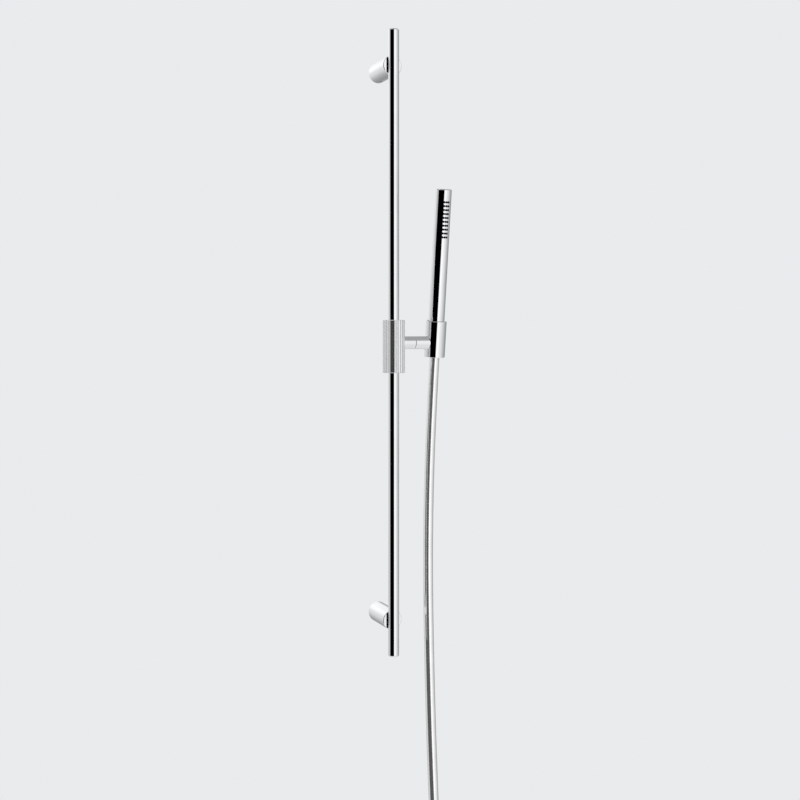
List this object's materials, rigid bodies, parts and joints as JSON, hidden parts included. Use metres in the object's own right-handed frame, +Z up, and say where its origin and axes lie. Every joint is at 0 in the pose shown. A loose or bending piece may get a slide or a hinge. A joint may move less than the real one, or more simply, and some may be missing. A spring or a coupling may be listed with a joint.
{
  "type": "shower slide rail",
  "caption": "Chrome wall rail on round posts, with a fluted slider, a swivelling arm, a tilting sleeve that holds a slim stick handset, and a smooth silver hose.",
  "frame": {"origin": "on the wall plane, midway between the wall-screw holes of the two posts, at the height of the rail's middle", "axes": "+X along the wall to the right as seen from the room, +Y into the wall, +Z up along the rail"},
  "size_m": [0.1958, 0.1019, 1.4755],
  "materials": {
    "chrome_plate": "polished chrome plate on brass",
    "fluted_chrome": "satin chrome plate in the flutes, polished on the plain lands",
    "brass": "turned brass",
    "steel": "plain stainless steel",
    "guide_plastic": "moulded acetal",
    "liner_plastic": "moulded grey plastic",
    "inner_plastic": "moulded white plastic",
    "seal_rubber": "black rubber",
    "black_silicone": "soft black silicone",
    "silver_hose": "smooth metallic silver plastic",
    "tie_plastic": "white strap"
  },
  "bodies": {
    "rail": {"rail_tube": "chrome_plate", "rail_cap_top": "chrome_plate", "rail_cap_bottom": "chrome_plate", "post_upper": "chrome_plate", "post_lower": "chrome_plate", "wall_boss_upper": "brass", "wall_boss_lower": "brass", "post_grub_screws": "steel", "rail_screws": "steel", "rail_insert_upper": "brass", "rail_insert_lower": "brass"},
    "carriage": {"guide_sleeve": "guide_plastic", "grip_rings": "seal_rubber"},
    "slider": {"slider_body": "fluted_chrome", "slider_end_ring_top": "chrome_plate", "slider_end_ring_bottom": "chrome_plate", "arm_stub": "chrome_plate", "seam_washer": "guide_plastic", "pivot_bolt": "steel", "hose_run": "silver_hose", "hose_hank": "silver_hose", "hose_tie": "tie_plastic", "hose_ferrule_lower": "brass", "hose_end_washer": "seal_rubber"},
    "holder": {"holder_body": "chrome_plate", "holder_liner": "liner_plastic", "disc_springs": "steel", "handset_body": "chrome_plate", "handset_cap": "chrome_plate", "nozzle_strip": "black_silicone", "waterway": "inner_plastic", "handset_inlet": "brass", "check_valve": "inner_plastic", "filter_washer": "seal_rubber", "cone_nut": "chrome_plate", "hose_ferrule_upper": "brass", "hose_upper": "silver_hose"},
    "hose_nut": {"hose_end_nut": "chrome_plate"}
  },
  "joints": [
    {"name": "slider_slide", "type": "slide", "parent": "rail", "child": "carriage", "axis": [0, 0, 1], "range_m": [-0.35, 0.36]},
    {"name": "slider_swivel", "type": "hinge", "parent": "carriage", "child": "slider", "pos_m": [0, -0.061, 0], "axis": [0, 0, 1], "range_deg": [-190, 10]},
    {"name": "holder_tilt", "type": "hinge", "parent": "slider", "child": "holder", "pos_m": [0.0331, -0.061, 0], "axis": [1, 0, 0], "range_deg": [-25, 35]},
    {"name": "hose_nut_spin", "type": "hinge", "parent": "slider", "child": "hose_nut", "pos_m": [0.0685, -0.089, -0.83], "axis": [0, 0, 1], "continuous": true}
  ]
}
